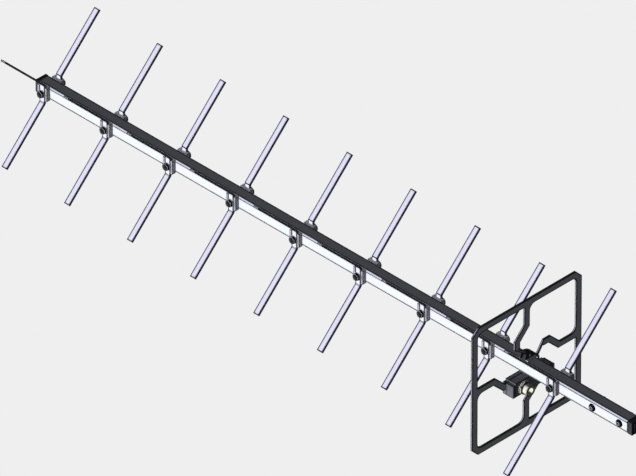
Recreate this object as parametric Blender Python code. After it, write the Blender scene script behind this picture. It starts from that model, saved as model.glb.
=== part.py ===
"""Dual-polarised yagi antenna: nine crossed elements and a square loop radiator on a square boom.

Metres, +Z up. The boom runs along X, with the eight directors towards -X and the reflector and
the mast bolts towards +X. The origin is the middle of the mast face: the flat back (+Y) of the
boom, halfway between the two mast bolts.
"""

import math

import bmesh
import bpy

MM = 0.001
GAP = 0.3 * MM

# Boom: a square aluminium tube closed by a plastic plug at each end.
BOOM_SIDE = 20 * MM
BOOM_WALL = 2 * MM
BOOM_CORNER = 2.5 * MM
MAST_BOLT_PITCH = 50 * MM
MAST_BOLT_TO_END = 15 * MM
REFLECTOR_TO_MAST_BOLT = 70 * MM
FRONT_OVERHANG = 15 * MM
FRONT_PLUG_FLANGE = 4.8 * MM
REAR_PLUG_FLANGE = 7.5 * MM
PLUG_STEM = 10 * MM
PLUG_CORNER = 1 * MM

# Elements: flat strips bent to a V, one on the front (-Y) and one on the back (+Y) of the boom.
DIRECTOR_COUNT = 8
STATION_PITCH = 120 * MM
STRIP_WIDTH = 10 * MM
STRIP_THICK = 3 * MM
DIRECTOR_REACH = 124.5 * MM  # from the boom's axis to a tip, along an arm
REFLECTOR_REACH = 142 * MM
TAB_FROM_AXIS = 15.5 * MM
ARM_OFFSET = 1 * MM
BEND_RADIUS = 4 * MM

# Clips: grooved blocks that hold each strip's tab against the side of the boom.
CLIP_WIDTH = 18 * MM
CLIP_FACE = 17 * MM  # from the boom's axis to the outer face
CLIP_BOTTOM = -10 * MM
CLIP_TOP = 11.3 * MM
CLIP_POCKET_DEPTH = 4 * MM

# Bolts. Each through bolt crosses both clips, both tabs and the boom.
BOLT_SHANK = 5.6 * MM
BOLT_HOLE = 6.4 * MM
WASHER_FACE = 12 * MM
WASHER_THICK = 1 * MM
HEX_ACROSS_FLATS = 10 * MM
HEX_HEIGHT = 4 * MM
THREAD_END = 24 * MM  # from the boom's axis to the end of a through bolt
MAST_HEAD = 11.5 * MM
MAST_HEAD_HEIGHT = 3 * MM
SOCKET_ACROSS_FLATS = 4 * MM
SOCKET_DEPTH = 1.8 * MM
MAST_THREAD_END = 5.5 * MM  # beyond the mast face

# Radiator: a square loop with four cranked spokes, cut from one flat sheet.
RADIATOR_TO_REFLECTOR = 64 * MM
SHEET_THICK = 3 * MM
LOOP_HALF = 103 * MM
LOOP_BAND = 10.4 * MM
LOOP_CHAMFER = 11.5 * MM
LOOP_INNER_RADIUS = 8 * MM
SPOKE_WIDTH = 10 * MM
SPOKE_FILLET = 10 * MM
CRANK_START = 61 * MM
CRANK_END = 42.5 * MM
CRANK_SIDE = 18 * MM
CRANK_STOP = 31 * MM
TONGUE_ROOT = 7 * MM  # its height where it leaves the spoke
TONGUE_TIP = ((20.1 * MM, 0.4 * MM), (16.9 * MM, 2.6 * MM))
LEFT_TAIL_END = 22 * MM
LOWER_TAIL_END = 26 * MM

# Balun housing under the boom, in two shells that meet at the front of the sheet.
HOUSING_HALF_LENGTH = 39 * MM
HOUSING_TOP = -10.3 * MM
HOUSING_BOTTOM = -32 * MM
HOUSING_FRONT = 13 * MM  # ahead of and behind the front of the sheet
HOUSING_BACK = -6.5 * MM
HOUSING_WALL = 2 * MM
SHOULDER_LENGTH = 5 * MM
SHOULDER_DROP = 2.7 * MM
BOARD_HALF_LENGTH = 31 * MM
BOARD_THICK = 1.6 * MM
BOARD_FROM_SHEET = 1.4 * MM

# Coaxial jacks on the housing.
JACK_FROM_AXIS = 19 * MM
JACK_HEIGHT = -22.3 * MM
JACK_FRONT = 26.2 * MM
JACK_BARREL = 15.8 * MM
JACK_BORE = 8.8 * MM
JACK_BORE_DEPTH = 9 * MM
JACK_PIN = 3 * MM
JACK_PIN_RECESS = 5.5 * MM
JACK_STEM = 10.4 * MM
JACK_STEM_BACK = 4.2 * MM
NUT_DIAMETER = 20 * MM
NUT_THICK = 3.2 * MM

# Saddle: two moulded halves over the boom's upper back corner clamp the upper and the back tongue.
# The front half has a strap over the top and the back of the boom.
SADDLE_FRONT = 5 * MM
SADDLE_CROWN = (
    (-9 * MM, 13.5 * MM),
    (-6.5 * MM, 19 * MM),
    (-1 * MM, 20.5 * MM),
    (5.5 * MM, 18.5 * MM),
    (10 * MM, 15.5 * MM),
    (15.5 * MM, 10 * MM),
    (18.5 * MM, 6 * MM),
)
SADDLE_BOTTOM = -8 * MM
STRAP_THICK = 1.3 * MM
STRAP_FRONT = 9.3 * MM
STRAP_START = -7.6 * MM

AXIS_Y = -BOOM_SIDE / 2
REAR_END_X = MAST_BOLT_PITCH / 2 + MAST_BOLT_TO_END
REFLECTOR_X = -MAST_BOLT_PITCH / 2 - REFLECTOR_TO_MAST_BOLT
FIRST_STATION_X = REFLECTOR_X - DIRECTOR_COUNT * STATION_PITCH
FRONT_END_X = FIRST_STATION_X - FRONT_OVERHANG
SHEET_BACK_X = REFLECTOR_X - RADIATOR_TO_REFLECTOR
SHEET_FRONT_X = SHEET_BACK_X + SHEET_THICK

ROUND = 24
HALF_TURN = math.pi


def clear_scene():
    for obj in list(bpy.data.objects):
        bpy.data.objects.remove(obj)


def new_collection(name, hidden=False):
    collection = bpy.data.collections.new(name)
    collection.hide_render = hidden
    bpy.context.scene.collection.children.link(collection)
    return collection


def new_material(name, colour, roughness, metallic):
    material = bpy.data.materials.new(name)
    material.use_nodes = True
    shader = material.node_tree.nodes["Principled BSDF"]
    shader.inputs["Base Color"].default_value = (*colour, 1)
    shader.inputs["Roughness"].default_value = roughness
    shader.inputs["Metallic"].default_value = metallic
    return material


def place(mesh, name, material, x=0.0, y=AXIS_Y, z=0.0, turn=0.0):
    """An object of the antenna, turned about X and moved to x, y, z."""
    obj = bpy.data.objects.new(name, mesh)
    obj.location = (x, y, z)
    obj.rotation_euler = (turn, 0, 0)
    if not mesh.materials:
        mesh.materials.append(material)
    ANTENNA.objects.link(obj)
    return obj


def finish_mesh(bm, mesh):
    """Write bm to the mesh with its faces looking outwards."""
    bmesh.ops.recalc_face_normals(bm, faces=bm.faces)
    if bm.calc_volume(signed=True) < 0:
        bmesh.ops.reverse_faces(bm, faces=bm.faces)
    bm.to_mesh(mesh)
    bm.free()
    return mesh


def mesh_of(build):
    """A mesh filled by build(bm)."""
    bm = bmesh.new()
    build(bm)
    return finish_mesh(bm, bpy.data.meshes.new("shape"))


def box(low, high):
    def build(bm):
        bmesh.ops.create_cube(bm, size=1)
        for vert in bm.verts:
            for axis in range(3):
                vert.co[axis] = low[axis] if vert.co[axis] < 0 else high[axis]

    return mesh_of(build)


def rod(diameter, start, end, axis, sides=ROUND, turn=0.0):
    """A closed cylinder or prism along X or Y, centred on that axis."""

    def build(bm):
        bmesh.ops.create_cone(
            bm,
            cap_ends=True,
            segments=sides,
            radius1=diameter / 2,
            radius2=diameter / 2,
            depth=end - start,
        )
        middle = (start + end) / 2
        for vert in bm.verts:
            u, v, w = vert.co
            u, v = (
                u * math.cos(turn) - v * math.sin(turn),
                u * math.sin(turn) + v * math.cos(turn),
            )
            vert.co = (w + middle, u, v) if axis == "X" else (u, w + middle, v)

    return mesh_of(build)


def prism(outlines, low, high, plane):
    """Flat outlines, the first with the others as holes in it, extruded from low to high.

    plane "YZ" extrudes along X, and plane "XY" along Z.
    """
    curve = bpy.data.curves.new("outline", "CURVE")
    curve.dimensions = "2D"
    curve.fill_mode = "BOTH"
    curve.extrude = (high - low) / 2
    for outline in outlines:
        spline = curve.splines.new("POLY")
        spline.points.add(len(outline) - 1)
        spline.use_cyclic_u = True
        for point, (u, v) in zip(spline.points, outline):
            point.co = (u, v, 0, 1)
    guide = bpy.data.objects.new("outline", curve)
    bpy.context.scene.collection.objects.link(guide)
    graph = bpy.context.evaluated_depsgraph_get()
    mesh = bpy.data.meshes.new_from_object(guide.evaluated_get(graph))
    bpy.data.objects.remove(guide)
    bm = bmesh.new()
    bm.from_mesh(mesh)
    bmesh.ops.remove_doubles(bm, verts=bm.verts, dist=1e-6)
    middle = (low + high) / 2
    for vert in bm.verts:
        u, v, w = vert.co
        vert.co = (w + middle, u, v) if plane == "YZ" else (u, v, w + middle)
    return finish_mesh(bm, mesh)


def combine(mesh, other, operation):
    """mesh with other cut from it or joined to it."""
    body = bpy.data.objects.new("body", mesh)
    tool = bpy.data.objects.new("tool", other)
    tool.display_type = "WIRE"
    for obj in (body, tool):
        CUTTERS.objects.link(obj)
    modifier = body.modifiers.new("combine", "BOOLEAN")
    modifier.operation = operation
    modifier.object = tool
    graph = bpy.context.evaluated_depsgraph_get()
    result = bpy.data.meshes.new_from_object(body.evaluated_get(graph))
    for obj in (body, tool):
        bpy.data.objects.remove(obj)
    return result


def cut(mesh, *others):
    for other in others:
        mesh = combine(mesh, other, "DIFFERENCE")
    return mesh


def join(mesh, *others):
    for other in others:
        mesh = combine(mesh, other, "UNION")
    return mesh


def shade_round(mesh):
    mesh.shade_smooth()
    mesh.set_sharp_from_angle(angle=math.radians(35))
    return mesh


def arc(centre_u, centre_v, radius, start, end, steps):
    """Points on an arc, in degrees, both ends included."""
    angles = [math.radians(start + (end - start) * i / steps) for i in range(steps + 1)]
    return [(centre_u + radius * math.cos(a), centre_v + radius * math.sin(a)) for a in angles]


def rounded_square(half, radius, steps=3):
    centre = half - radius
    points = []
    for quarter, (u, v) in enumerate(((1, 1), (-1, 1), (-1, -1), (1, -1))):
        start = 90 * quarter
        points += arc(u * centre, v * centre, radius, start, start + 90, steps)
    return points


def side_of(path, offset):
    """The path moved sideways by offset, with mitred corners. A positive offset is to its left."""
    moved = []
    for i, (u, v) in enumerate(path):
        before, after = path[max(i - 1, 0)], path[min(i + 1, len(path) - 1)]
        normals = []
        for a, b in ((before, (u, v)), ((u, v), after)):
            run = math.dist(a, b)
            if run:
                normals.append(((a[1] - b[1]) / run, (b[0] - a[0]) / run))
        total = [sum(n[axis] for n in normals) / len(normals) for axis in (0, 1)]
        stretch = offset / (total[0] ** 2 + total[1] ** 2)
        moved.append((u + total[0] * stretch, v + total[1] * stretch))
    return moved


def boom_tube():
    half = BOOM_SIDE / 2
    outer = rounded_square(half, BOOM_CORNER)
    inner = rounded_square(half - BOOM_WALL, BOOM_CORNER - BOOM_WALL / 2)
    tube = prism([outer, inner], FRONT_END_X, REAR_END_X, "YZ")
    for x in STATIONS + MAST_BOLTS:
        drill = rod(BOLT_HOLE, -BOOM_SIDE, BOOM_SIDE, "Y", sides=16)
        for vert in drill.vertices:
            vert.co.x += x
        tube = cut(tube, drill)
    place(tube, "boom_tube", ALUMINIUM)


def end_plug(name, face_x, outward, flange):
    """A plug whose flange covers the end of the tube and whose stem fills its bore."""
    near, far = sorted((face_x + outward * GAP, face_x + outward * flange))
    cap = prism([rounded_square(BOOM_SIDE / 2, PLUG_CORNER)], near, far, "YZ")
    start, end = sorted((face_x + outward * flange / 2, face_x - outward * PLUG_STEM))
    stem_half = BOOM_SIDE / 2 - BOOM_WALL - GAP
    stem = prism([rounded_square(stem_half, BOOM_CORNER - BOOM_WALL / 2)], start, end, "YZ")
    place(join(cap, stem), name, BLACK_PLASTIC)


def strip_path(reach):
    """The middle of a strip, from its upper tip over its tab to its lower tip, in (y, z)."""
    bend = TAB_FROM_AXIS - ARM_OFFSET
    run = (reach * math.sqrt(2) - TAB_FROM_AXIS - bend) / 2
    tangent = BEND_RADIUS * math.tan(math.radians(22.5))
    tip = (-TAB_FROM_AXIS - run, bend + run)
    turn = arc(-TAB_FROM_AXIS - BEND_RADIUS, bend - tangent, BEND_RADIUS, 45, 0, 3)
    upper = [tip] + turn
    return upper + [(y, -z) for y, z in reversed(upper)]


def strip(reach):
    path = strip_path(reach)
    half = STRIP_THICK / 2
    outline = side_of(path, half) + side_of(path, -half)[::-1]
    bar = prism([outline], -STRIP_WIDTH / 2, STRIP_WIDTH / 2, "YZ")
    return cut(bar, rod(BOLT_HOLE, -BOOM_SIDE, -BOOM_SIDE / 2, "Y", sides=16))


def clip():
    """A grooved block on the front of the boom, cored out at its top behind the groove."""
    half = CLIP_WIDTH / 2
    groove = STRIP_WIDTH / 2 + GAP
    floor = TAB_FROM_AXIS - STRIP_THICK / 2 - GAP
    root = BOOM_SIDE / 2 + GAP
    outline = [
        (-half, -root),
        (-half, -CLIP_FACE),
        (-groove, -CLIP_FACE),
        (-groove, -floor),
        (groove, -floor),
        (groove, -CLIP_FACE),
        (half, -CLIP_FACE),
        (half, -root),
    ]
    block = prism([outline], CLIP_BOTTOM, CLIP_TOP, "XY")
    pockets = [
        box(
            (min(x * 1 * MM, x * 4 * MM), -root - 2.6 * MM, CLIP_TOP - CLIP_POCKET_DEPTH),
            (max(x * 1 * MM, x * 4 * MM), -root - 0.8 * MM, CLIP_TOP + 1 * MM),
        )
        for x in (-1, 1)
    ]
    hole = rod(BOLT_HOLE, -BOOM_SIDE, -BOOM_SIDE / 4, "Y", sides=16)
    return cut(block, hole, *pockets)


def through_bolt():
    """Hexagon head and washer on the front of the clip, and a shank that reaches past the back."""
    washer_back = CLIP_FACE + GAP
    washer_front = washer_back + WASHER_THICK
    shank = rod(BOLT_SHANK, -washer_front + GAP, THREAD_END, "Y", sides=16)
    washer = rod(WASHER_FACE, -washer_front, -washer_back, "Y")
    corner = HEX_ACROSS_FLATS / math.cos(math.radians(30))
    head_front = washer_front + HEX_HEIGHT
    head = rod(corner, -head_front, -washer_front + GAP, "Y", sides=6)
    return shade_round(join(washer, head, shank))


def mast_bolt():
    """Low round head with a hexagon socket on the front face, and a shank through the boom."""
    face = BOOM_SIDE / 2 + GAP
    head = rod(MAST_HEAD, -face - MAST_HEAD_HEIGHT, -face, "Y")
    shank = rod(BOLT_SHANK, -face - MAST_HEAD_HEIGHT / 4, face + MAST_THREAD_END, "Y", sides=16)
    corner = SOCKET_ACROSS_FLATS / math.cos(math.radians(30))
    outer = -face - MAST_HEAD_HEIGHT
    socket = rod(corner, outer - 1 * MM, outer + SOCKET_DEPTH, "Y", sides=6)
    return shade_round(cut(join(head, shank), socket))


def crossed_element(name, x, reach_mesh):
    for side, turn in (("front", 0), ("back", HALF_TURN)):
        place(reach_mesh, f"{name}_{side}_strip", ALUMINIUM, x, turn=turn)
        place(CLIP_MESH, f"{name}_{side}_clip", GREY_PLASTIC, x, turn=turn)
    place(BOLT_MESH, f"{name}_through_bolt", BLACK_STEEL, x)


def tongue():
    """The narrow end of a clamped spoke, slanting from the end of its crank towards the boom."""
    top = CRANK_SIDE + SPOKE_WIDTH / 2
    return [(CRANK_STOP, top - TONGUE_ROOT), *TONGUE_TIP]


def spoke(stop, end, inner_half, filleted):
    """One spoke that points along +u: in along its lower side, round its end, out along its upper.

    Only one of its two sides meets the loop in a fillet: the upper one if filleted is "upper".
    """
    path = [(inner_half, 0), (CRANK_START, 0), (CRANK_END, CRANK_SIDE), (stop, CRANK_SIDE)]
    half = SPOKE_WIDTH / 2
    lower = side_of(path, half)
    upper = side_of(path, -half)[::-1]
    centre = inner_half - SPOKE_FILLET
    fillet = arc(centre, half + SPOKE_FILLET, SPOKE_FILLET, 270, 360, 4)
    if filleted == "upper":
        return lower + end + upper[:-1] + fillet
    return [(u, -v) for u, v in reversed(fillet)] + lower[1:] + end + upper


def quarter_turns(points, count):
    for _ in range(count):
        points = [(-v, u) for u, v in points]
    return points


def radiator_sheet():
    inner_half = LOOP_HALF - LOOP_BAND
    spokes = (
        (CRANK_STOP, tongue(), "upper"),
        (CRANK_STOP, tongue(), "lower"),
        (LEFT_TAIL_END, [], "upper"),
        (LOWER_TAIL_END, [], "lower"),
    )
    centre = inner_half - LOOP_INNER_RADIUS
    inner = []
    outer = []
    for quarter, (stop, end, filleted) in enumerate(spokes):
        corner = arc(centre, centre, LOOP_INNER_RADIUS, 0, 90, 4)
        inner += quarter_turns(spoke(stop, end, inner_half, filleted) + corner, quarter)
        chamfer = [(LOOP_HALF, LOOP_HALF - LOOP_CHAMFER), (LOOP_HALF - LOOP_CHAMFER, LOOP_HALF)]
        outer += quarter_turns(chamfer, quarter)
    sheet = prism([outer, inner], SHEET_BACK_X, SHEET_FRONT_X, "YZ")
    place(sheet, "radiator_sheet", ALUMINIUM)


def shell_outline(inset):
    """The housing seen along X, shrunk by inset. Its top steps down to a shoulder at each end."""
    half = HOUSING_HALF_LENGTH - inset
    step = HOUSING_HALF_LENGTH - SHOULDER_LENGTH - inset
    top = HOUSING_TOP - inset
    shoulder = top - SHOULDER_DROP
    bottom = HOUSING_BOTTOM + inset
    right = [(half, bottom), (half, shoulder), (step, shoulder), (step, top)]
    return right + [(-u, v) for u, v in reversed(right)]


def housing_shell(front_x, seam_x, inner_x):
    """An open box from front_x to the seam, hollow from inner_x on."""
    low, high = sorted((front_x, seam_x))
    outer = prism([shell_outline(0)], low, high, "YZ")
    step = 1 * MM if seam_x > inner_x else -1 * MM
    low, high = sorted((inner_x, seam_x + step))
    return cut(outer, prism([shell_outline(HOUSING_WALL)], low, high, "YZ"))


def balun_housing():
    front_x = SHEET_FRONT_X + HOUSING_FRONT
    shell = housing_shell(front_x, SHEET_FRONT_X + GAP, front_x - HOUSING_WALL)
    for side in (-1, 1):
        hole = rod(JACK_STEM + 2 * GAP, SHEET_FRONT_X, front_x + 1 * MM, "X")
        for vert in hole.vertices:
            vert.co.y += side * JACK_FROM_AXIS
            vert.co.z += JACK_HEIGHT
        shell = cut(shell, hole)
    place(shell, "balun_housing", BLACK_PLASTIC)


def balun_back_cover():
    """The rear shell, slotted where the left and the lower spoke enter."""
    back_x = SHEET_FRONT_X + HOUSING_BACK
    shell = housing_shell(back_x, SHEET_FRONT_X, back_x + HOUSING_WALL)
    slot = SPOKE_WIDTH / 2 + GAP
    inner_end = -HOUSING_HALF_LENGTH + SHOULDER_LENGTH + 2 * HOUSING_WALL
    left = box(
        (SHEET_BACK_X - GAP, -HOUSING_HALF_LENGTH - 1 * MM, -CRANK_SIDE - slot),
        (SHEET_FRONT_X + 1 * MM, inner_end, -CRANK_SIDE + slot),
    )
    lower = box(
        (SHEET_BACK_X - GAP, CRANK_SIDE - slot, HOUSING_BOTTOM - 1 * MM),
        (SHEET_FRONT_X + 1 * MM, CRANK_SIDE + slot, HOUSING_BOTTOM + 2 * HOUSING_WALL),
    )
    place(cut(shell, left, lower), "balun_back_cover", BLACK_PLASTIC)


def balun_board():
    inset = HOUSING_WALL + GAP
    x = SHEET_FRONT_X + BOARD_FROM_SHEET
    board = box(
        (x, -BOARD_HALF_LENGTH, HOUSING_BOTTOM + inset),
        (x + BOARD_THICK, BOARD_HALF_LENGTH, HOUSING_TOP - inset),
    )
    place(board, "balun_board", GREEN_BOARD)


def coax_jack():
    """Threaded barrel with an open front and a centre pin, on a stem through the housing wall."""
    wall_x = SHEET_FRONT_X + HOUSING_FRONT
    front_x = SHEET_FRONT_X + JACK_FRONT
    barrel = rod(JACK_BARREL, wall_x + GAP, front_x, "X")
    bore = rod(JACK_BORE, front_x - JACK_BORE_DEPTH, front_x + 1 * MM, "X")
    pin_front = front_x - JACK_PIN_RECESS
    pin = rod(JACK_PIN, front_x - JACK_BORE_DEPTH - 1 * MM, pin_front, "X", sides=12)
    stem = rod(JACK_STEM, SHEET_FRONT_X + JACK_STEM_BACK, wall_x + 2 * MM, "X")
    return shade_round(join(cut(barrel, bore), pin, stem))


def jack_nut():
    """The round flanged nut that clamps a jack to the housing."""
    wall_x = SHEET_FRONT_X + HOUSING_FRONT
    ring = rod(NUT_DIAMETER, wall_x + GAP, wall_x + GAP + NUT_THICK, "X", sides=32)
    bore = rod(JACK_BARREL + 2 * GAP, wall_x, wall_x + 2 * NUT_THICK, "X")
    return shade_round(cut(ring, bore))


def coax_jacks():
    jack = coax_jack()
    nut = jack_nut()
    for number, side in ((1, -1), (2, 1)):
        y = AXIS_Y + side * JACK_FROM_AXIS
        place(jack, f"coax_jack_{number}", BRASS, y=y, z=JACK_HEIGHT)
        place(nut, f"jack_nut_{number}", BRASS, y=y, z=JACK_HEIGHT)


def saddle_outline():
    """The saddle's body: over the top of the boom and down its back."""
    root = BOOM_SIDE / 2 + GAP
    left = SADDLE_CROWN[0][0]
    back = SADDLE_CROWN[-1][0]
    foot = [(back, SADDLE_BOTTOM), (root, SADDLE_BOTTOM), (root, root), (left, root)]
    return [*SADDLE_CROWN, *foot]


def strap_outline():
    """A strip bent over the boom: along its top and down its back."""
    root = BOOM_SIDE / 2 + GAP
    outer = root + STRAP_THICK
    top = [(outer, outer), (STRAP_START, outer), (STRAP_START, root), (root, root)]
    return top + [(root, SADDLE_BOTTOM), (outer, SADDLE_BOTTOM)]


def radiator_saddle():
    body = prism([saddle_outline()], SHEET_FRONT_X + GAP, SHEET_FRONT_X + SADDLE_FRONT, "YZ")
    strap = prism([strap_outline()], SHEET_FRONT_X + 1 * MM, SHEET_FRONT_X + STRAP_FRONT, "YZ")
    place(join(body, strap), "radiator_saddle_front", BLACK_PLASTIC)
    rear = prism([saddle_outline()], SHEET_FRONT_X + HOUSING_BACK, SHEET_BACK_X - GAP, "YZ")
    place(rear, "radiator_saddle_rear", BLACK_PLASTIC)


clear_scene()
ANTENNA = new_collection("yagi_antenna")
CUTTERS = new_collection("cutters", hidden=True)

ALUMINIUM = new_material("aluminium", (0.80, 0.81, 0.84), 0.35, 1.0)
BLACK_PLASTIC = new_material("black_plastic", (0.03, 0.035, 0.035), 0.5, 0.0)
GREY_PLASTIC = new_material("grey_plastic", (0.45, 0.46, 0.48), 0.45, 0.0)
BLACK_STEEL = new_material("black_steel", (0.03, 0.03, 0.03), 0.4, 1.0)
BRASS = new_material("brass", (0.85, 0.68, 0.32), 0.25, 1.0)
GREEN_BOARD = new_material("green_board", (0.05, 0.25, 0.10), 0.5, 0.0)

STATIONS = [FIRST_STATION_X + STATION_PITCH * i for i in range(DIRECTOR_COUNT + 1)]
MAST_BOLTS = [-MAST_BOLT_PITCH / 2, MAST_BOLT_PITCH / 2]

boom_tube()
end_plug("front_end_plug", FRONT_END_X, -1, FRONT_PLUG_FLANGE)
end_plug("rear_end_plug", REAR_END_X, 1, REAR_PLUG_FLANGE)

CLIP_MESH = clip()
BOLT_MESH = through_bolt()
DIRECTOR_MESH = strip(DIRECTOR_REACH)
for number, station_x in enumerate(STATIONS[:-1], start=1):
    crossed_element(f"director_{number}", station_x, DIRECTOR_MESH)
crossed_element("reflector", REFLECTOR_X, strip(REFLECTOR_REACH))

MAST_BOLT_MESH = mast_bolt()
for number, bolt_x in enumerate(MAST_BOLTS, start=1):
    place(MAST_BOLT_MESH, f"mast_bolt_{number}", BLACK_STEEL, bolt_x)

radiator_sheet()
balun_housing()
balun_back_cover()
balun_board()
coax_jacks()
radiator_saddle()
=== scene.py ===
"""The looks of the crossed-element yagi antenna: finished pieces, materials, light and camera.

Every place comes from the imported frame, in metres. Round pieces are lathed about a local X axis
and then turned to face along the antenna's X or Y.
"""

import math

import bmesh
import bpy
from mathutils import Matrix, Vector


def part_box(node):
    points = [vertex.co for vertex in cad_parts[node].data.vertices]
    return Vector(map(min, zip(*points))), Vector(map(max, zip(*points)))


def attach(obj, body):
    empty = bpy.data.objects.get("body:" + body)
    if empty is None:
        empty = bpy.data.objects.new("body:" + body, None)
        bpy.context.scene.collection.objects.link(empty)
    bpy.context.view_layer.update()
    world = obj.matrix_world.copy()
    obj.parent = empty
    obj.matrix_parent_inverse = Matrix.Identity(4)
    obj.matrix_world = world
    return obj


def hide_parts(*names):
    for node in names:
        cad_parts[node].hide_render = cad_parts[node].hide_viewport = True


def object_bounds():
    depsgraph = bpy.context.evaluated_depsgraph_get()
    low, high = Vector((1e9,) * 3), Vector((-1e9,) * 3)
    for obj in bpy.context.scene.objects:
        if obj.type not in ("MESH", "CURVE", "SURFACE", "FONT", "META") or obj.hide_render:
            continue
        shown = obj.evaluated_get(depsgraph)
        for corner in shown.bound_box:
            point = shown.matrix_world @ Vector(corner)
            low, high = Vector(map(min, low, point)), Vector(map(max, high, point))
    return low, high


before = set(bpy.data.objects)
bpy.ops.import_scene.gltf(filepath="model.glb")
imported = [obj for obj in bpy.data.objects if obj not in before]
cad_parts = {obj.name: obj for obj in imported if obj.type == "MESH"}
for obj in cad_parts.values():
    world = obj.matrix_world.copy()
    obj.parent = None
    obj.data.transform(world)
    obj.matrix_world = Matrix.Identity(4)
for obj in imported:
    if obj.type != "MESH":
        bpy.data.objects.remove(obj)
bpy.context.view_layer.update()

MM = 0.001
BODY = "root"
FULL_TURN = 2 * math.pi

STATION_NAMES = [f"director_{number}" for number in range(1, 9)] + ["reflector"]

BOOM_LOW, BOOM_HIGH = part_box("boom_tube")
AXIS_Y = (BOOM_LOW.y + BOOM_HIGH.y) / 2
BOOM_HALF = (BOOM_HIGH.y - BOOM_LOW.y) / 2
BOOM_CORNER = 2.5 * MM
BOOM_WALL = 2 * MM

SHEET_FRONT_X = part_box("radiator_sheet")[1].x
HOUSING_LOW, HOUSING_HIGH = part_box("balun_housing")

# Through bolts and mast bolts, both M6
FASTENER_RADIUS = 2.95 * MM
BOLT_HOLE_RADIUS = 3.2 * MM
THREAD_PITCH = 1 * MM
THREAD_DEPTH = 0.5 * MM
THREAD_CHAMFER = 0.8 * MM
BOLT_THREAD_LENGTH = 14 * MM
STUD_THREAD_LENGTH = 22 * MM
HEX_ACROSS_FLATS = 10 * MM
HEX_HEIGHT = 4 * MM
NUT_HEIGHT = 4.6 * MM
JAM_NUT_HEIGHT = 3 * MM
NUT_BORE_RADIUS = FASTENER_RADIUS + 0.02 * MM
WASHER_RADIUS = 6 * MM
WASHER_BORE_RADIUS = FASTENER_RADIUS + 0.25 * MM
WASHER_THICK = 1 * MM
SEAT_GAP = 0.05 * MM  # between a mast bolt's parts and what they bear on

# Coaxial jacks
JACK_PITCH = 1.06 * MM
JACK_THREAD_DEPTH = 0.12 * MM
JACK_THREAD_START = 0.3 * MM
JACK_LIP = 0.9 * MM  # the unthreaded length at the mouth
JACK_EDGE = 0.6 * MM
JACK_BORE_RADIUS = 4.4 * MM
JACK_BORE_DEPTH = 9 * MM
JACK_STEM_RADIUS = 3.4 * MM
CONTACT_RECESS = 5.5 * MM
CONTACT_RADIUS = 1.5 * MM
LOCK_WASHER_RADIUS = 9.9 * MM
LOCK_WASHER_THICK = 0.8 * MM
LOCK_TEETH = 20
LOCK_TOOTH_DEPTH = 0.5 * MM
JACK_NUT_FLATS = 17.3 * MM
JACK_NUT_HEIGHT = 2.35 * MM
JACK_NUT_FROM_WASHER = 0.85 * MM  # from the lock washer's back to the nut's back


def centre(node):
    low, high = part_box(node)
    return (low + high) / 2


# ---------------------------------------------------------------- mesh helpers


def add_piece(name, mesh, material, replaces=(), matrix=None):
    """A finished piece that rides on the antenna."""
    piece = bpy.data.objects.new(name, mesh)
    bpy.context.scene.collection.objects.link(piece)
    if matrix is not None:
        piece.matrix_world = matrix
    piece.data.materials.clear()
    piece.data.materials.append(material)
    piece.visible_glossy = False  # the metals mirror only the studio, as in an even light tent
    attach(piece, BODY)
    if replaces:
        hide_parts(*replaces)
    return piece


def shade(mesh, degrees=32):
    mesh.shade_smooth()
    mesh.set_sharp_from_angle(angle=math.radians(degrees))
    return mesh


def mesh_from(bm, degrees=32):
    bmesh.ops.recalc_face_normals(bm, faces=bm.faces)
    if bm.calc_volume(signed=True) < 0:
        bmesh.ops.reverse_faces(bm, faces=bm.faces)
    mesh = bpy.data.meshes.new("shape")
    bm.to_mesh(mesh)
    bm.free()
    return shade(mesh, degrees)


def evaluated(mesh, settings):
    """The mesh after the modifiers in settings, each (kind, values)."""
    holder = bpy.data.objects.new("holder", mesh)
    bpy.context.scene.collection.objects.link(holder)
    for kind, values in settings:
        modifier = holder.modifiers.new(kind.lower(), kind)
        for key, value in values.items():
            setattr(modifier, key, value)
    graph = bpy.context.evaluated_depsgraph_get()
    result = bpy.data.meshes.new_from_object(holder.evaluated_get(graph))
    bpy.data.objects.remove(holder)
    return result


def combined(mesh, other, operation):
    tool = bpy.data.objects.new("tool", other)
    bpy.context.scene.collection.objects.link(tool)
    result = evaluated(mesh, [("BOOLEAN", {"operation": operation, "object": tool})])
    bpy.data.objects.remove(tool)
    return result


def softened(mesh, width, segments=2):
    """The mesh with its flat faces made whole and its edges rounded over width."""
    bm = bmesh.new()
    bm.from_mesh(mesh)
    bmesh.ops.remove_doubles(bm, verts=bm.verts, dist=2e-6)
    bmesh.ops.dissolve_limit(bm, angle_limit=math.radians(0.5), verts=bm.verts, edges=bm.edges)
    clean = bpy.data.meshes.new("clean")
    bm.to_mesh(clean)
    bm.free()
    bevel = {
        "width": width,
        "segments": segments,
        "limit_method": "ANGLE",
        "angle_limit": math.radians(34),
        "use_clamp_overlap": True,
        "harden_normals": False,
    }
    clean.shade_smooth()
    flats = {"mode": "FACE_AREA", "weight": 50, "keep_sharp": True}
    return evaluated(clean, [("BEVEL", bevel), ("WEIGHTED_NORMAL", flats)])


def box_mesh(low, high):
    bm = bmesh.new()
    bmesh.ops.create_cube(bm, size=1)
    for vert in bm.verts:
        for axis in range(3):
            vert.co[axis] = low[axis] if vert.co[axis] < 0 else high[axis]
    return mesh_from(bm)


def moved(mesh, matrix):
    mesh.transform(matrix)
    return mesh


def joined(*meshes):
    """Separate closed shapes as one mesh."""
    bm = bmesh.new()
    for mesh in meshes:
        bm.from_mesh(mesh)
    result = bpy.data.meshes.new("joined")
    bm.to_mesh(result)
    bm.free()
    return shade(result)


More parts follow.
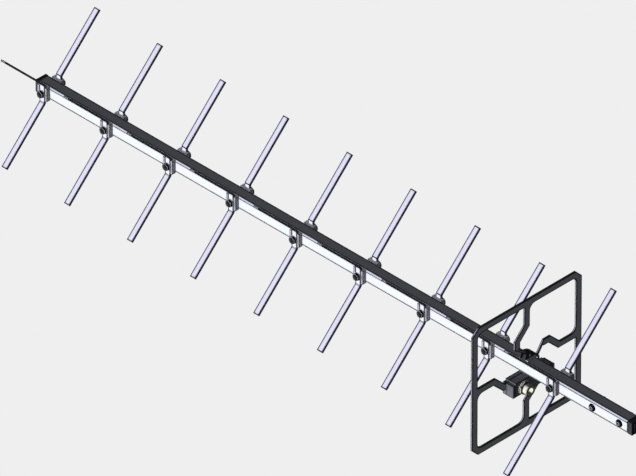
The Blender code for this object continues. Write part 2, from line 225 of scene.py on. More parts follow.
def lathe(profile, sides=40, radius_at=None):
    """A shape turned about X. profile is (x, radius) points; a radius of 0 closes an end.

    radius_at(x, radius, angle) can change a point's radius with the angle, for threads and hexagons.
    A profile that has no zero at its ends is closed into a ring.
    """
    bm = bmesh.new()
    rings = []
    for x, radius in profile:
        if radius == 0:
            rings.append([bm.verts.new((x, 0, 0))])
            continue
        ring = []
        for i in range(sides):
            angle = FULL_TURN * i / sides
            r = radius_at(x, radius, angle) if radius_at else radius
            ring.append(bm.verts.new((x, r * math.cos(angle), r * math.sin(angle))))
        rings.append(ring)
    pairs = list(zip(rings, rings[1:]))
    if profile[0][1] and profile[-1][1]:
        pairs.append((rings[-1], rings[0]))
    for a, b in pairs:
        for i in range(sides):
            j = (i + 1) % sides
            if len(a) == 1:
                bm.faces.new((a[0], b[i], b[j]))
            elif len(b) == 1:
                bm.faces.new((a[i], b[0], a[j]))
            else:
                bm.faces.new((a[i], b[i], b[j], a[j]))
    return mesh_from(bm)


def thread_radius(pitch, depth, start, end):
    """A radius_at for lathe: a helical V thread between start and end that fades at both."""

    def radius_at(x, radius, angle):
        if not start <= x <= end:
            return radius
        phase = (x / pitch - angle / FULL_TURN) % 1
        fade = min(1, (x - start) / pitch, (end - x) / pitch)
        return radius - depth * fade * abs(2 * phase - 1)

    return radius_at


def threaded(start, end, radius, pitch):
    """Profile points close enough together to carry a thread."""
    count = round((end - start) / pitch * 5)
    return [(start + (end - start) * i / count, radius) for i in range(count + 1)]


def hexagon(across_flats, height, hole, chamfer_back=False, sides=48):
    """A hexagon head or nut from x = 0 to height, its corners cut by a 30 degree cone."""
    flat = across_flats / 2
    crown = flat * 0.96

    def corner(angle):
        turned = (angle + math.pi / 6) % (math.pi / 3) - math.pi / 6
        return flat / math.cos(turned)

    bm = bmesh.new()
    angles = [FULL_TURN * i / sides for i in range(sides)]

    def ring(x_at, radius_at):
        return [
            bm.verts.new((x_at(a), radius_at(a) * math.cos(a), radius_at(a) * math.sin(a)))
            for a in angles
        ]

    def drop(a):
        return (corner(a) - crown) * math.tan(math.radians(30))

    rings = []
    if chamfer_back:
        rings.append(ring(lambda a: 0, lambda a: crown))
        rings.append(ring(drop, corner))
    else:
        rings.append(ring(lambda a: 0, corner))
    rings.append(ring(lambda a: height - drop(a), corner))
    rings.append(ring(lambda a: height, lambda a: crown))
    if hole:
        rings.append(ring(lambda a: height, lambda a: hole * 1.12))
        rings.append(ring(lambda a: height - hole * 0.12, lambda a: hole))
        rings.append(ring(lambda a: hole * 0.12, lambda a: hole))
        rings.append(ring(lambda a: 0, lambda a: hole * 1.12))
    pairs = list(zip(rings, rings[1:]))
    if hole:
        pairs.append((rings[-1], rings[0]))
    else:
        bm.faces.new(rings[0])
        bm.faces.new(rings[-1])
    for a, b in pairs:
        for i in range(sides):
            j = (i + 1) % sides
            bm.faces.new((a[i], b[i], b[j], a[j]))
    return mesh_from(bm, 28)


def washer(inner, outer, thick):
    edge = thick * 0.25
    return lathe(
        [
            (0, inner),
            (0, outer - edge),
            (edge, outer),
            (thick - edge, outer),
            (thick, outer - edge),
            (thick, inner),
        ],
        sides=40,
    )


def along_y(x, y, z, outward):
    """Places a shape lathed about X so that its +X points along outward * Y."""
    turn = Matrix.Rotation(math.radians(90 * outward), 4, "Z")
    return Matrix.Translation((x, y, z)) @ turn


def along_x(x, y, z):
    return Matrix.Translation((x, y, z))


# ---------------------------------------------------------------- materials


class Surface:
    """A Principled material and short calls that add nodes to it."""

    def __init__(self, name, roughness, metallic, colour):
        self.material = bpy.data.materials.new(name)
        self.material.use_nodes = True
        self.tree = self.material.node_tree
        self.shader = self.tree.nodes["Principled BSDF"]
        self.shader.inputs["Roughness"].default_value = roughness
        self.shader.inputs["Metallic"].default_value = metallic
        self.colour = self.rgb(colour)
        self.place = self.add("ShaderNodeTexCoord").outputs["Object"]

    def add(self, kind, **values):
        node = self.tree.nodes.new(kind)
        for key, value in values.items():
            setattr(node, key, value)
        return node

    def wire(self, source, socket):
        self.tree.links.new(source, socket)

    def rgb(self, colour):
        node = self.add("ShaderNodeRGB")
        node.outputs[0].default_value = (*colour, 1)
        return node.outputs[0]

    def math(self, operation, a, b=None, c=None):
        node = self.add("ShaderNodeMath", operation=operation)
        for socket, value in zip(node.inputs, (a, b, c)):
            if value is None:
                continue
            if isinstance(value, (int, float)):
                socket.default_value = value
            else:
                self.wire(value, socket)
        return node.outputs[0]

    def ranged(self, value, from_low, from_high, to_low, to_high):
        node = self.add("ShaderNodeMapRange", interpolation_type="SMOOTHSTEP")
        self.wire(value, node.inputs["Value"])
        sockets = ("From Min", "From Max", "To Min", "To Max")
        for socket, number in zip(sockets, (from_low, from_high, to_low, to_high)):
            node.inputs[socket].default_value = number
        return node.outputs["Result"]

    def noise(self, stretch, detail=3.0, roughness=0.55):
        """Noise with stretch cells a metre along each axis."""
        scale = self.add("ShaderNodeVectorMath", operation="MULTIPLY")
        self.wire(self.place, scale.inputs[0])
        scale.inputs[1].default_value = stretch
        node = self.add("ShaderNodeTexNoise")
        self.wire(scale.outputs[0], node.inputs["Vector"])
        node.inputs["Scale"].default_value = 1
        node.inputs["Detail"].default_value = detail
        node.inputs["Roughness"].default_value = roughness
        return node.outputs["Fac"]

    def tint(self, amount, colour):
        """Mixes colour over what is there by amount."""
        node = self.add("ShaderNodeMix", data_type="RGBA")
        self.wire(amount, node.inputs["Factor"])
        self.wire(self.colour, node.inputs[6])
        self.wire(self.rgb(colour), node.inputs[7])
        self.colour = node.outputs[2]

    def edges(self, radius, colour, strength=1.0):
        """Tints each face beside its edges: dark as a drawn outline, or pale as a painted highlight of
        glints along the edges.
        """
        bevel = self.add("ShaderNodeBevel", samples=16)
        bevel.inputs["Radius"].default_value = radius
        geometry = self.add("ShaderNodeNewGeometry")
        dot = self.add("ShaderNodeVectorMath", operation="DOT_PRODUCT")
        self.wire(bevel.outputs["Normal"], dot.inputs[0])
        self.wire(geometry.outputs["Normal"], dot.inputs[1])
        turned, flat = 0.985, 0.9995  # cosines of the angle between the rounded and true normal
        mask = self.ranged(dot.outputs["Value"], turned, flat, strength, 0)
        self.tint(mask, colour)

    def die_lines(self, place, colour, half_width=0.55 * MM):
        """Dark lines along X where the flats of a square tube end, place from its axis."""
        parts = self.add("ShaderNodeSeparateXYZ")
        self.wire(self.place, parts.inputs[0])
        for axis in (1, 2):
            distance = self.math("ABSOLUTE", parts.outputs[axis])
            line = self.math("COMPARE", distance, place, half_width)
            self.tint(line, colour)

    def bend_marks(self, colour):
        """Dark press marks across a bend, where the normal is between the tab's and an arm's."""
        geometry = self.add("ShaderNodeNewGeometry")
        parts = self.add("ShaderNodeSeparateXYZ")
        self.wire(geometry.outputs["Normal"], parts.inputs[0])
        steepness = self.math("ABSOLUTE", parts.outputs[2])
        half_bent, spread = 0.36, 0.14  # a tab's normal has no Z, and an arm's has 0.71
        self.tint(self.math("COMPARE", steepness, half_bent, spread), colour)

    def rough(self, value, low, high, to_low, to_high):
        self.wire(self.ranged(value, low, high, to_low, to_high), self.shader.inputs["Roughness"])

    def bump(self, height, distance, strength=0.5):
        node = self.add("ShaderNodeBump")
        node.inputs["Distance"].default_value = distance
        node.inputs["Strength"].default_value = strength
        self.wire(height, node.inputs["Height"])
        self.wire(node.outputs["Normal"], self.shader.inputs["Normal"])

    def done(self):
        self.wire(self.colour, self.shader.inputs["Base Color"])
        return self.material


INK = (0.004, 0.004, 0.006)
# Pale edge colour for the black bolts: a painted highlight, glints of light painted along every edge.
PAINTED_GLINT = (0.62, 0.63, 0.66)


def aluminium(name, colour, grain, roughness, edge, die_line=None, bent=False):
    """Bare aluminium with drawing or rolling lines along the axis that grain stretches."""
    surface = Surface(name, roughness, 1.0, colour)
    lines = surface.noise(grain, detail=4)
    clouds = surface.noise((22, 22, 22), detail=2)
    surface.tint(surface.ranged(lines, 0.45, 0.75, 0, 0.10), (0.62, 0.62, 0.66))
    surface.tint(surface.ranged(clouds, 0.45, 0.75, 0, 0.07), (0.72, 0.72, 0.78))
    surface.edges(edge, INK, 0.96)
    if die_line:
        surface.die_lines(die_line, INK)
    if bent:
        surface.bend_marks(INK)
    surface.rough(lines, 0.3, 0.7, roughness - 0.04, roughness + 0.07)
    surface.bump(lines, 0.02 * MM, 0.25)
    return surface.done()


def moulded(name, colour, pale, roughness, grain_size, edge, ior=None):
    """Moulded plastic: a fine spark-eroded grain and slightly uneven colour."""
    surface = Surface(name, roughness, 0.0, colour)
    cells = 1 / grain_size
    grain = surface.noise((cells, cells, cells), detail=2)
    clouds = surface.noise((60, 60, 60), detail=3)
    surface.tint(surface.ranged(clouds, 0.4, 0.75, 0, 0.35), pale)
    surface.edges(edge, INK, 0.9)
    surface.rough(clouds, 0.3, 0.7, roughness - 0.06, roughness + 0.08)
    surface.bump(grain, 0.05 * MM, 0.35)
    surface.shader.inputs["Specular IOR Level"].default_value = 0.5
    if ior:
        surface.shader.inputs["IOR"].default_value = ior
    return surface.done()


def plated(name, colour, pale, roughness, edge, edge_colour=INK, edge_strength=0.8):
    """Plated or machined metal: turning lines, a little uneven plating, and edges tinted edge_colour:
    dark outlines by default, painted glint highlights where a pale colour is given.
    """
    surface = Surface(name, roughness, 1.0, colour)
    clouds = surface.noise((420, 420, 420), detail=3)
    fine = surface.noise((5200, 1600, 1600), detail=2)
    surface.tint(surface.ranged(clouds, 0.4, 0.7, 0, 0.5), pale)
    if edge:
        surface.edges(edge, edge_colour, edge_strength)
    surface.rough(clouds, 0.3, 0.7, roughness - 0.05, roughness + 0.1)
    surface.bump(fine, 0.01 * MM, 0.2)
    return surface.done()


EXTRUDED = aluminium(
    "extruded_aluminium", (0.93, 0.94, 0.96), (14, 1500, 1500), 0.30, 3.4 * MM, die_line=7.6 * MM
)
STRIP = aluminium("rolled_strip", (0.92, 0.92, 0.95), (1500, 26, 26), 0.28, 3.8 * MM, bent=True)
SHEET = aluminium("cut_sheet", (0.90, 0.90, 0.92), (700, 1300, 34), 0.34, 3.4 * MM)
GREY = moulded(
    "grey_polyamide", (0.86, 0.87, 0.90), (0.92, 0.92, 0.94), 0.40, 0.35 * MM, 1.1 * MM
)
BLACK = moulded(
    "black_polyamide", (0.155, 0.16, 0.165), (0.20, 0.20, 0.21), 0.28, 0.4 * MM, 2.6 * MM, ior=1.85
)
DEEP_BLACK = moulded(
    "black_rubbery", (0.016, 0.016, 0.018), (0.026, 0.026, 0.03), 0.42, 0.4 * MM, 2.6 * MM
)
# Black bolts whose pale edges are painted highlights, glints of light put into the colour.
BOLT = plated(
    "black_zinc", (0.010, 0.010, 0.012), (0.022, 0.022, 0.026), 0.22, 0.9 * MM, PAINTED_GLINT, 0.9
)
BRASS = plated("machined_brass", (1.0, 0.95, 0.70), (1.0, 0.97, 0.80), 0.14, 0.0)
NUT_BRASS = plated("nut_brass", (1.0, 0.95, 0.70), (1.0, 0.97, 0.80), 0.16, 0.9 * MM)
STRAP = aluminium("strap_sheet", (0.86, 0.87, 0.90), (900, 26, 26), 0.30, 0.5 * MM)
PTFE = moulded("ptfe", (0.86, 0.85, 0.80), (0.92, 0.91, 0.88), 0.35, 0.3 * MM, 0.3 * MM)


def solder_mask():
    surface = Surface("solder_mask", 0.35, 0.0, (0.02, 0.13, 0.05))
    traces = surface.noise((300, 300, 300), detail=1)
    surface.tint(surface.ranged(traces, 0.48, 0.52, 0, 0.6), (0.04, 0.22, 0.09))
    return surface.done()


BOARD = solder_mask()


# ---------------------------------------------------------------- boom and plugs


def grooved_square(half, radius, groove, steps=6):
    """Outline of a square tube. A fine die line runs where each flat meets its rounded corner."""
    middle = half - radius
    points = []
    for quarter in range(4):
        turn = Matrix.Rotation(math.radians(90 * quarter), 2)
        corner = []
        corner += [(half, middle - 2 * groove), (half - groove, middle - groove)]
        for i in range(steps + 1):
            angle = math.pi / 2 * i / steps
            corner.append((middle + radius * math.cos(angle), middle + radius * math.sin(angle)))
        corner += [(middle - groove, half - groove), (middle - 2 * groove, half)]
        points += [turn @ Vector(point) for point in corner]
    return points


def ring_prism(outer, inner, low, high):
    """A tube along X between two outlines with as many points as each other."""
    bm = bmesh.new()
    loops = [
        [bm.verts.new((x, point[0], point[1])) for point in outline]
        for x, outline in ((low, outer), (high, outer), (high, inner), (low, inner))
    ]
    for a, b in zip(loops, loops[1:] + loops[:1]):
        for i in range(len(outer)):
            j = (i + 1) % len(outer)
            bm.faces.new((a[i], b[i], b[j], a[j]))
    return mesh_from(bm)


def drill(x):
    """A bolt hole's cutter, through the boom along Y."""
    reach, radius = 30 * MM, BOLT_HOLE_RADIUS
    hole = lathe([(-reach, 0), (-reach, radius), (reach, radius), (reach, 0)], sides=32)
    return moved(hole, along_y(x, 0, 0, 1))


def bolt_places():
    names = [f"{name}_through_bolt" for name in STATION_NAMES] + ["mast_bolt_1", "mast_bolt_2"]
    return [centre(name).x for name in names]


def make_boom():
    outer = grooved_square(BOOM_HALF, BOOM_CORNER, 0.22 * MM)
    inner = grooved_square(BOOM_HALF - BOOM_WALL, BOOM_CORNER - BOOM_WALL / 2, 0.05 * MM)
    tube = ring_prism(outer, inner, BOOM_LOW.x, BOOM_HIGH.x)
    tube = combined(tube, joined(*[drill(x) for x in bolt_places()]), "DIFFERENCE")
    place = Matrix.Translation((0, AXIS_Y, 0))
    add_piece("boom_extrusion", shade(tube), EXTRUDED, ["boom_tube"], place)


def make_plug(node, outward):
    """A plug with a raised rim and four sunk panels, with ribs between them, on its outer face."""
    low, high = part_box(node)
    face = high.x if outward > 0 else low.x
    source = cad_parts[node].data.copy()
    depth, half = 0.9 * MM, 6.9 * MM
    pitch, width = 3.6 * MM, 3 * MM
    near, far = sorted((face - outward * depth, face + outward * depth))
    panels = []
    for i in range(4):
        start = AXIS_Y - half + i * pitch
        panels.append(box_mesh((near, start, -half), (far, start + width, half)))
    carved = combined(source, joined(*panels), "DIFFERENCE")
    add_piece(f"{node}_cap", softened(carved, 0.35 * MM), DEEP_BLACK, [node])


# ---------------------------------------------------------------- elements


def make_strips_and_clips():
    for name in STATION_NAMES:
        for side in ("front", "back"):
            strip = f"{name}_{side}_strip"
            mesh = softened(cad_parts[strip].data, 0.3 * MM)
            add_piece(f"{strip}_rolled", mesh, STRIP, [strip])
            clip = f"{name}_{side}_clip"
            mesh = softened(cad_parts[clip].data, 0.45 * MM)
            add_piece(f"{clip}_moulding", mesh, GREY, [clip])


def through_bolt_mesh(reach, far_end):
    """A hexagon bolt along X: its head's face is at reach, its threaded end at -far_end."""
    head_back = reach - HEX_HEIGHT
    head = moved(hexagon(HEX_ACROSS_FLATS, HEX_HEIGHT, 0), Matrix.Translation((head_back, 0, 0)))
    end = -far_end
    thread_start, thread_top = end + THREAD_CHAMFER, end + BOLT_THREAD_LENGTH
    into_head = head_back + 0.5 * MM
    profile = [(into_head, 0), (into_head, FASTENER_RADIUS)]
    profile += threaded(thread_start, thread_top, FASTENER_RADIUS, THREAD_PITCH)[::-1]
    profile += [(end, FASTENER_RADIUS - THREAD_CHAMFER), (end, 0)]
    rule = thread_radius(THREAD_PITCH, THREAD_DEPTH, thread_start, thread_top)
    return joined(head, lathe(profile, sides=24, radius_at=rule))


def make_through_bolts():
    for name in STATION_NAMES:
        node = f"{name}_through_bolt"
        low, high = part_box(node)
        x = (low.x + high.x) / 2
        reach, far_end = AXIS_Y - low.y, high.y - AXIS_Y
        bolt = through_bolt_mesh(reach, far_end)
        place = along_y(x, AXIS_Y, 0, -1)
        add_piece(f"{name}_hex_bolt", bolt, BOLT, [node], place)
        washer_outer = reach - HEX_HEIGHT
        for side, outward in (("front", -1), ("back", 1)):
            ring = washer(WASHER_BORE_RADIUS, WASHER_RADIUS, WASHER_THICK - 0.02 * MM)
            start = AXIS_Y + outward * (washer_outer - WASHER_THICK)
            place = along_y(x, start, 0, outward)
            add_piece(f"{name}_{side}_washer", ring, BOLT, matrix=place)
        nut = hexagon(HEX_ACROSS_FLATS, NUT_HEIGHT, NUT_BORE_RADIUS, True)
        place = along_y(x, AXIS_Y + washer_outer, 0, 1)
        add_piece(f"{name}_hex_nut", nut, BOLT, matrix=place)


def button_head(radius, height):
    """A low domed head from x = 0, with a hexagon socket in it."""
    edge, rim = 0.3 * MM, 0.25  # rim is the share of the height below the dome
    crown, fullness = 0.42, 0.6
    dome = [(0, 0), (0, radius - edge), (edge, radius)]
    for i in range(1, 7):
        angle = math.pi / 2 * i / 8
        x = height * (rim + (1 - rim) * math.sin(angle))
        dome.append((x, radius * math.cos(angle) ** fullness))
    dome += [(height, radius * crown), (height, 0)]
    key_flats, key_length, socket_depth = 4 * MM, 3 * MM, 1.9 * MM
    key = moved(hexagon(key_flats, key_length, 0), along_x(height - socket_depth, 0, 0))
    return combined(lathe(dome), key, "DIFFERENCE")


def make_mast_bolts():
    for number in (1, 2):
        node = f"mast_bolt_{number}"
        low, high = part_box(node)
        x = (low.x + high.x) / 2
        head_height = BOOM_LOW.y - low.y
        radius = (high.x - low.x) / 2
        head = shade(button_head(radius, head_height - SEAT_GAP))
        place = along_y(x, BOOM_LOW.y - SEAT_GAP, 0, -1)
        add_piece(f"{node}_button_head", head, BOLT, [node], place)
        length = high.y - BOOM_LOW.y
        start, end = length - STUD_THREAD_LENGTH, length - THREAD_CHAMFER
        into_head = -0.5 * MM
        profile = [(into_head, 0), (into_head, FASTENER_RADIUS)]
        profile += threaded(start, end, FASTENER_RADIUS, THREAD_PITCH)
        profile += [(length, FASTENER_RADIUS - THREAD_CHAMFER), (length, 0)]
        rule = thread_radius(THREAD_PITCH, THREAD_DEPTH, start, end)
        stud = lathe(profile, sides=24, radius_at=rule)
        add_piece(f"{node}_stud", stud, BOLT, matrix=along_y(x, BOOM_LOW.y, 0, 1))
        ring = washer(WASHER_BORE_RADIUS, WASHER_RADIUS, WASHER_THICK)
        place = along_y(x, BOOM_HIGH.y + SEAT_GAP, 0, 1)
        add_piece(f"{node}_washer", ring, BOLT, matrix=place)
        nut = hexagon(HEX_ACROSS_FLATS, JAM_NUT_HEIGHT, NUT_BORE_RADIUS, True)
        place = along_y(x, BOOM_HIGH.y + 2 * SEAT_GAP + WASHER_THICK, 0, 1)
        add_piece(f"{node}_nut", nut, BOLT, matrix=place)


# ---------------------------------------------------------------- radiator, balun and jacks


def make_sheet():
    mesh = softened(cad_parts["radiator_sheet"].data, 0.25 * MM)
    add_piece("radiator_loop", mesh, SHEET, ["radiator_sheet"])


def housing_louvres():
    """Shallow grooves across each end of the housing's front, as box shapes to cut away."""
    front_x = HOUSING_HIGH.x
    margin, inner = 2 * MM, 7.5 * MM  # from an end of the housing to a groove's two ends
    first, pitch, height, depth = 3.2 * MM, 3.3 * MM, 2.1 * MM, 0.7 * MM
    cuts = []
    for near, far in (
        (HOUSING_LOW.y + margin, HOUSING_LOW.y + inner),
        (HOUSING_HIGH.y - inner, HOUSING_HIGH.y - margin),
    ):
        for row in range(5):
            bottom = HOUSING_LOW.z + first + row * pitch
            low = (front_x - depth, near, bottom)
            cuts.append(box_mesh(low, (front_x + 1 * MM, far, bottom + height)))
    return joined(*cuts)


def make_housing():
    """Both shells, with louvres and three small pips beside each end of the front."""
    shell = combined(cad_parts["balun_housing"].data, housing_louvres(), "DIFFERENCE")
    shell = softened(shell, 0.4 * MM)
    add_piece("balun_front_shell", shell, BLACK, ["balun_housing"])
    cover = softened(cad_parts["balun_back_cover"].data, 0.4 * MM)
    add_piece("balun_rear_shell", cover, BLACK, ["balun_back_cover"])
    height = HOUSING_HIGH.z - HOUSING_LOW.z
    inset, pip_height, pip_base, pip_top = 10.5 * MM, 0.5 * MM, 1.1 * MM, 0.9 * MM
    pip_profile = [(0, 0), (0, pip_base), (pip_height, pip_top), (pip_height, 0)]
    for side, y in (("left", HOUSING_LOW.y + inset), ("right", HOUSING_HIGH.y - inset)):
        for number in (1, 2, 3):
            pip = lathe(pip_profile, sides=16)
            z = HOUSING_LOW.z + height * (0.06 + 0.22 * number)
            place = along_x(HOUSING_HIGH.x + 0.02 * MM, y, z)
            name = f"housing_pip_{side}_{number}"
            add_piece(name, pip, BOLT, matrix=place)


def jack_barrel(length, radius):
    """The threaded outer sleeve with its smooth lip and open bore."""
    back, bore, floor = 0.05 * MM, JACK_BORE_RADIUS, length - JACK_BORE_DEPTH
    end, bevel = length - JACK_LIP, 0.35 * MM
    profile = [(back, radius - JACK_EDGE)]
    profile += threaded(JACK_THREAD_START, end, radius, JACK_PITCH)
    profile += [(length - 0.25 * MM, radius - bevel), (length, radius - JACK_EDGE)]
    profile += [(length, bore + bevel), (length - bevel, bore), (floor, bore)]
    profile += [(floor, JACK_STEM_RADIUS), (back, JACK_STEM_RADIUS)]
    rule = thread_radius(JACK_PITCH, JACK_THREAD_DEPTH, JACK_THREAD_START, end)
    return lathe(profile, sides=56, radius_at=rule)


def lock_washer(back, radius):
    """A ring from x = back whose rim has square teeth."""
    front, inner = back + LOCK_WASHER_THICK, radius + 0.1 * MM
    tooth = FULL_TURN / LOCK_TEETH

    def toothed(x, r, angle):
        return r if r < radius + 1 * MM else r - LOCK_TOOTH_DEPTH * (angle % tooth > tooth / 2)

    outer = LOCK_WASHER_RADIUS
    profile = [(back, inner), (back, outer), (front, outer), (front, inner)]
    return lathe(profile, sides=4 * LOCK_TEETH, radius_at=toothed)


def seal_ring(back, radius):
    """A rubber ring round the barrel, from x = back, with both rims bevelled."""
    inner, rim, outer = radius + 0.05 * MM, radius + 0.9 * MM, radius + 1.3 * MM
    length, bevel = 2.1 * MM, 0.6 * MM
    profile = [(back, inner), (back, rim), (back + bevel, outer)]
    profile += [(back + length - bevel, outer), (back + length, rim), (back + length, inner)]
    return lathe(profile, sides=56)


def front_collar(length, radius):
    """A ring round the barrel's mouth, with a thin lip over its front."""
    back, bevel_back, front = length - 1.7 * MM, length - 0.3 * MM, length + 0.1 * MM
    inner, outer, mouth = radius + 0.02 * MM, radius + 0.7 * MM, radius - 1.6 * MM
    face = length + 0.01 * MM
    profile = [(back, inner), (back, outer), (bevel_back, outer), (front, radius + 0.3 * MM)]
    profile += [(front, mouth), (face, mouth), (face, inner)]
    return lathe(profile, sides=56)


def insulator(floor):
    """The stepped disc at the bore's floor, with a stem behind it and a raised middle."""
    stem_back, step, stem = floor - 3 * MM, floor + 0.02 * MM, JACK_STEM_RADIUS - 0.02 * MM
    face, nose = floor + 0.8 * MM, floor + 2 * MM
    outer = JACK_BORE_RADIUS - 0.05 * MM
    profile = [(stem_back, 0), (stem_back, stem), (step, stem), (step, outer), (face, outer)]
    profile += [(face, 2.6 * MM), (nose, 2.3 * MM), (nose, 0)]
    return lathe(profile, sides=40)


def contact(length):
    """The slotted centre contact, open at its tip."""
    floor, slot_root = length - 1.6 * MM, length - 1.4 * MM
    mouth, bore = 1.25 * MM, 0.8 * MM
    profile = [(0, 0), (0, CONTACT_RADIUS), (length - 0.3 * MM, CONTACT_RADIUS), (length, mouth)]
    profile += [(length, bore), (floor, bore), (floor, 0)]
    tube = lathe(profile, sides=24)
    reach, half = 2 * CONTACT_RADIUS, 0.14 * MM
    for wide, tall in ((half, reach), (reach, half)):
        slot = box_mesh((slot_root, -wide, -tall), (length + 1 * MM, wide, tall))
        tube = combined(tube, slot, "DIFFERENCE")
    return shade(tube)


def make_jack(number):
    """One jack, outwards from the housing's wall, and what is inside its bore."""
    node, nut_node = f"coax_jack_{number}", f"jack_nut_{number}"
    low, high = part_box(node)
    wall = HOUSING_HIGH.x
    y, z = (low.y + high.y) / 2, (low.z + high.z) / 2
    radius, length = (high.y - low.y) / 2, high.x - wall
    place = along_x(wall, y, z)

    def add(part, mesh, material, replaces=(), matrix=place):
        add_piece(f"{node}_{part}", mesh, material, replaces, matrix)

    add("sleeve", jack_barrel(length, radius), BRASS, replaces=[node])
    washer_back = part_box(nut_node)[0].x - wall
    nut_back = washer_back + JACK_NUT_FROM_WASHER
    add("lock_washer", lock_washer(washer_back, radius), BRASS)
    nut = hexagon(JACK_NUT_FLATS, JACK_NUT_HEIGHT, radius + 0.05 * MM, True, 72)
    add("hex_nut", nut, NUT_BRASS, replaces=[nut_node], matrix=along_x(wall + nut_back, y, z))
    add("seal", seal_ring(nut_back + JACK_NUT_HEIGHT, radius), DEEP_BLACK)
    add("collar", front_collar(length, radius), NUT_BRASS)
    floor = length - JACK_BORE_DEPTH
    add("insulator", insulator(floor), PTFE)
    start = floor + 0.1 * MM
    tip = length - CONTACT_RECESS
    add("contact", moved(contact(tip - start), along_x(start, 0, 0)), BRASS)


def stretched_x(mesh, low, high):
    """The mesh of a prism along X, with its ends moved to low and high."""
    middle = sum(vert.co.x for vert in mesh.vertices) / len(mesh.vertices)
    for vert in mesh.vertices:
        vert.co.x = low if vert.co.x < middle else high
    return mesh


def bent_strip(thick, start, bottom, low_x, high_x):
    """A strip of sheet bent over the boom: along its top from start, and down its back to bottom."""
    root = BOOM_HALF + 0.3 * MM
    inner = 1 * MM  # the bend's inner radius
    outer = inner + thick
    centre_at = root - inner
    bend = [math.pi / 8 * i for i in range(5)]
    inside = [(centre_at + inner * math.sin(a), centre_at + inner * math.cos(a)) for a in bend]
    outside = [(centre_at + outer * math.sin(a), centre_at + outer * math.cos(a)) for a in bend]
    outline = [(start, root), *inside, (root, bottom), (root + thick, bottom)]
    outline += [*reversed(outside), (start, root + thick)]
    bm = bmesh.new()
    loops = [[bm.verts.new((x, AXIS_Y + u, v)) for u, v in outline] for x in (low_x, high_x)]
    bm.faces.new(loops[0])
    bm.faces.new(loops[1])
    for i in range(len(outline)):
        j = (i + 1) % len(outline)
        bm.faces.new((loops[0][i], loops[0][j], loops[1][j], loops[1][i]))
    return softened(mesh_from(bm), 0.2 * MM)


def pan_screw(radius, height):
    """A domed screw head from x = 0 with a cross recess."""
    dome = [(0, 0), (0, radius)]
    for i in range(1, 6):
        angle = math.pi / 2 * i / 6
        dome.append((height * math.sin(angle), radius * math.cos(angle) ** 0.7))
    dome.append((height, 0))
    arm, half = radius * 0.62, radius * 0.14
    cross = joined(
        box_mesh((height * 0.45, -arm, -half), (height * 2, arm, half)),
        box_mesh((height * 0.45, -half, -arm), (height * 2, half, arm)),
    )
    return shade(combined(lathe(dome, sides=24), cross, "DIFFERENCE"))


def make_saddle():
    """The clamp of the upper and back tongues: two moulded halves, a strap and two screws."""
    node = "radiator_saddle_front"
    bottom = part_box(node)[0].z
    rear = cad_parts["radiator_saddle_rear"].data
    body_end = SHEET_FRONT_X + 5 * MM
    body = stretched_x(rear.copy(), SHEET_FRONT_X + 0.3 * MM, body_end)
    strap_start, strap_end = SHEET_FRONT_X + 1 * MM, SHEET_FRONT_X + 9.3 * MM
    start, thick, clearance = -7.6 * MM, 1.3 * MM, 0.05 * MM
    strap = bent_strip(thick, start, bottom, strap_start, strap_end)
    slot_start = strap_start - clearance
    slot = bent_strip(thick + clearance, start, bottom - 1 * MM, slot_start, strap_end)
    body = softened(combined(body, slot, "DIFFERENCE"), 0.5 * MM)
    add_piece("radiator_saddle_body", body, DEEP_BLACK, [node])
    add_piece("radiator_saddle_strap", strap, STRAP)
    half = softened(rear.copy(), 0.5 * MM)
    add_piece("radiator_saddle_rear_half", half, DEEP_BLACK, ["radiator_saddle_rear"])
    screw_places = ((2 * MM, 15 * MM), (14.5 * MM, -4 * MM))  # above the boom, and behind it
    for number, (y, z) in enumerate(screw_places, start=1):
        place = along_x(body_end, AXIS_Y + y, z)
        screw = pan_screw(radius=2.2 * MM, height=1.6 * MM)
        add_piece(f"radiator_saddle_screw_{number}", screw, BOLT, matrix=place)


def dress_board():
    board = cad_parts["balun_board"]
    board.data.materials.clear()
    board.data.materials.append(BOARD)
    board.visible_glossy = False


# ---------------------------------------------------------------- stage, light and camera

PALE = (0.863, 0.863, 0.863)
FLOOR_SIZE = 160
FLOOR_DROP = 0.7

CAMERA_AIM = Vector((-0.5470, AXIS_Y, 0.0075))
CAMERA_DISTANCE = 30.25
CAMERA_LENS = 1285


def make_floor():
    """A plain pale floor well below the antenna, bright enough to show no edge or shadow."""
    bm = bmesh.new()
    bmesh.ops.create_grid(bm, x_segments=1, y_segments=1, size=FLOOR_SIZE / 2)
    mesh = bpy.data.meshes.new("floor")
    bm.to_mesh(mesh)
    bm.free()
    floor = bpy.data.objects.new("floor", mesh)
    floor.location = (0, 0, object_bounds()[0][2] - FLOOR_DROP)
    bpy.context.scene.collection.objects.link(floor)
    material = bpy.data.materials.new("pale_floor")
    material.use_nodes = True
    shader = material.node_tree.nodes["Principled BSDF"]
    shader.inputs["Base Color"].default_value = (0, 0, 0, 1)
    shader.inputs["Specular IOR Level"].default_value = 0
    shader.inputs["Emission Color"].default_value = (*PALE, 1)
    shader.inputs["Emission Strength"].default_value = 1
    mesh.materials.append(material)
    floor.visible_diffuse = False
    floor.visible_glossy = False
    floor.visible_shadow = False


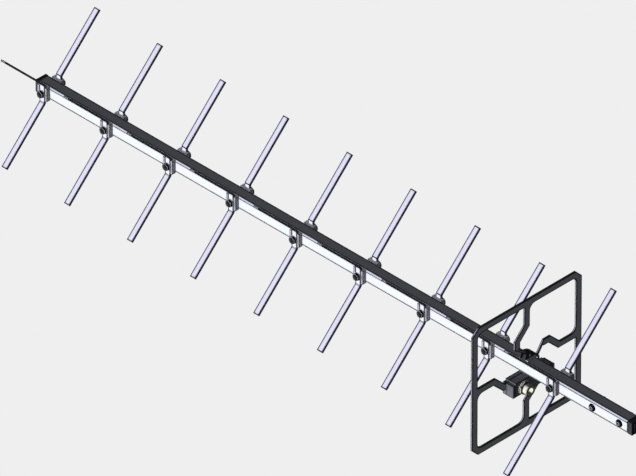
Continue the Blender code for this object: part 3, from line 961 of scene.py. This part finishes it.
def make_light():
    """One broad soft light from the front left, over a dim room. The camera sees a pale backdrop."""
    world = bpy.data.worlds.new("studio")
    world.use_nodes = True
    tree = world.node_tree
    nodes, wire = tree.nodes, tree.links.new
    background = nodes["Background"]
    place = nodes.new("ShaderNodeTexCoord").outputs["Generated"]

    def facing(direction):
        node = nodes.new("ShaderNodeVectorMath")
        node.operation = "DOT_PRODUCT"
        wire(place, node.inputs[0])
        node.inputs[1].default_value = Vector(direction).normalized()
        return node.outputs["Value"]

    def ramp(value, low, high):
        node = nodes.new("ShaderNodeMapRange")
        node.interpolation_type = "SMOOTHSTEP"
        wire(value, node.inputs["Value"])
        node.inputs["From Min"].default_value = low
        node.inputs["From Max"].default_value = high
        return node.outputs["Result"]

    def mix(factor, a, b):
        node = nodes.new("ShaderNodeMix")
        node.data_type = "RGBA"
        wire(factor, node.inputs["Factor"])
        for socket, colour in ((node.inputs[6], a), (node.inputs[7], b)):
            if isinstance(colour, tuple):
                socket.default_value = (*colour, 1)
            else:
                wire(colour, socket)
        return node.outputs[2]

    height = facing((0, 0, 1))
    soft_box = mix(ramp(height, -0.1, 0.35), (1.05, 1.08, 1.16), (0.88, 0.86, 1.06))
    room = mix(ramp(height, -0.5, 0.5), (0.052, 0.053, 0.058), (0.042, 0.045, 0.049))
    lit = mix(ramp(facing((-1, -1, 0)), 0.28, 0.7), room, soft_box)
    seen = mix(nodes.new("ShaderNodeLightPath").outputs["Is Camera Ray"], lit, PALE)
    wire(seen, background.inputs["Color"])
    bpy.context.scene.world = world


def make_camera():
    """A very long lens at the isometric angle, so that the axes keep nearly one scale."""
    away = Vector((1, -1, 1)).normalized()
    data = bpy.data.cameras.new("camera")
    data.lens = CAMERA_LENS
    data.sensor_width = 36
    data.clip_start = 1
    data.clip_end = 100
    camera = bpy.data.objects.new("camera", data)
    camera.location = CAMERA_AIM + away * CAMERA_DISTANCE
    camera.rotation_euler = away.to_track_quat("Z", "Y").to_euler()
    bpy.context.scene.collection.objects.link(camera)
    bpy.context.scene.camera = camera
    bpy.context.scene.view_settings.view_transform = "Standard"


make_camera()
make_light()
make_floor()
make_boom()
make_plug("front_end_plug", -1)
make_plug("rear_end_plug", 1)
make_strips_and_clips()
make_through_bolts()
make_mast_bolts()
make_sheet()
make_housing()
make_jack(1)
make_jack(2)
make_saddle()
dress_board()
